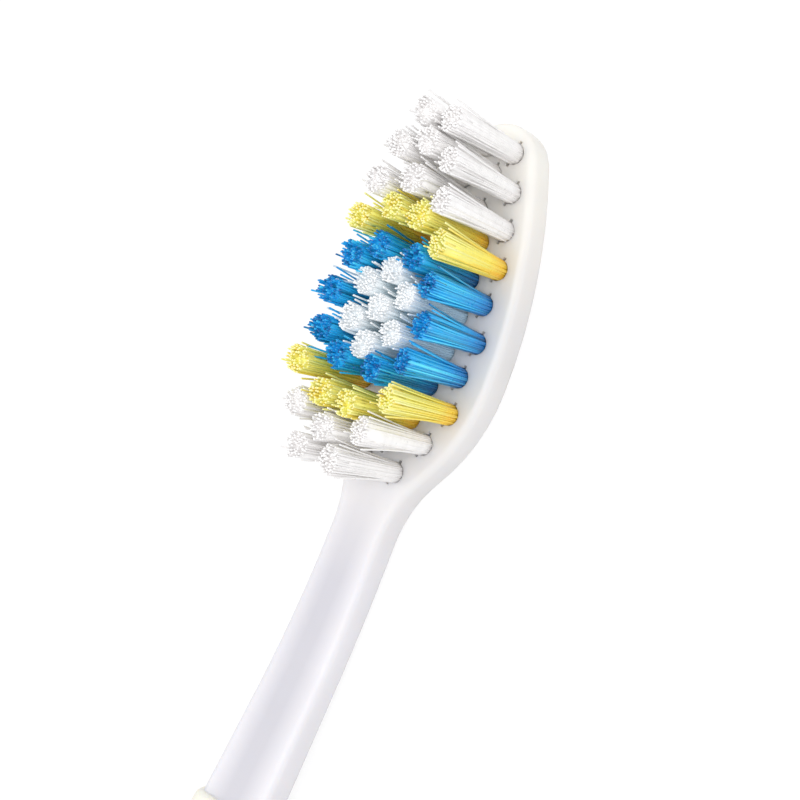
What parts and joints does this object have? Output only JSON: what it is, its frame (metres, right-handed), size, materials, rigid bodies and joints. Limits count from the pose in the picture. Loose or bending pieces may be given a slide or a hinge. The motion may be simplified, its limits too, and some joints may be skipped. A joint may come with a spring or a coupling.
{
  "type": "manual toothbrush",
  "caption": "Manual toothbrush with an egg-shaped head, blue, white and yellow tufts in staggered rows, a slim set-back neck and a white handle with yellow grips.",
  "frame": {"origin": "middle of the brush's length, on the surface that it rests on when it lies on its back", "axes": "+X along the brush towards the tip of the head, +Z the way that the tufts point, +Y across"},
  "size_m": [0.19, 0.0138, 0.0146],
  "materials": {
    "white_plastic": "glossy, slightly translucent moulding",
    "yellow_elastomer": "satin soft moulding",
    "blue_nylon": "translucent filaments",
    "yellow_nylon": "translucent filaments",
    "white_nylon": "translucent filaments",
    "anchor_metal": "stamped sheet"
  },
  "bodies": {
    "root": {"anchor_staples": "anchor_metal", "back_grip": "yellow_elastomer", "handle": "white_plastic", "thumb_grip": "yellow_elastomer", "tuft_01_left": "white_nylon", "tuft_01_right": "white_nylon", "tuft_02_left": "white_nylon", "tuft_02_middle": "white_nylon", "tuft_02_right": "white_nylon", "tuft_03_left": "yellow_nylon", "tuft_03_right": "yellow_nylon", "tuft_04_left": "yellow_nylon", "tuft_04_right": "yellow_nylon", "tuft_05_left": "blue_nylon", "tuft_05_right": "blue_nylon", "tuft_06_left": "blue_nylon", "tuft_06_middle": "white_nylon", "tuft_06_right": "blue_nylon", "tuft_07_left": "white_nylon", "tuft_07_right": "white_nylon", "tuft_08_left": "blue_nylon", "tuft_08_middle": "white_nylon", "tuft_08_right": "blue_nylon", "tuft_09_left": "white_nylon", "tuft_09_right": "white_nylon", "tuft_10_left": "blue_nylon", "tuft_10_middle": "white_nylon", "tuft_10_right": "blue_nylon", "tuft_11_left": "blue_nylon", "tuft_11_right": "blue_nylon", "tuft_12_left": "yellow_nylon", "tuft_12_right": "yellow_nylon", "tuft_13_left": "yellow_nylon", "tuft_13_right": "yellow_nylon", "tuft_14_left": "white_nylon", "tuft_14_middle": "white_nylon", "tuft_14_right": "white_nylon", "tuft_15_left": "white_nylon", "tuft_15_middle": "white_nylon", "tuft_15_right": "white_nylon", "tuft_16_left": "white_nylon", "tuft_16_right": "white_nylon"}
  },
  "joints": []
}
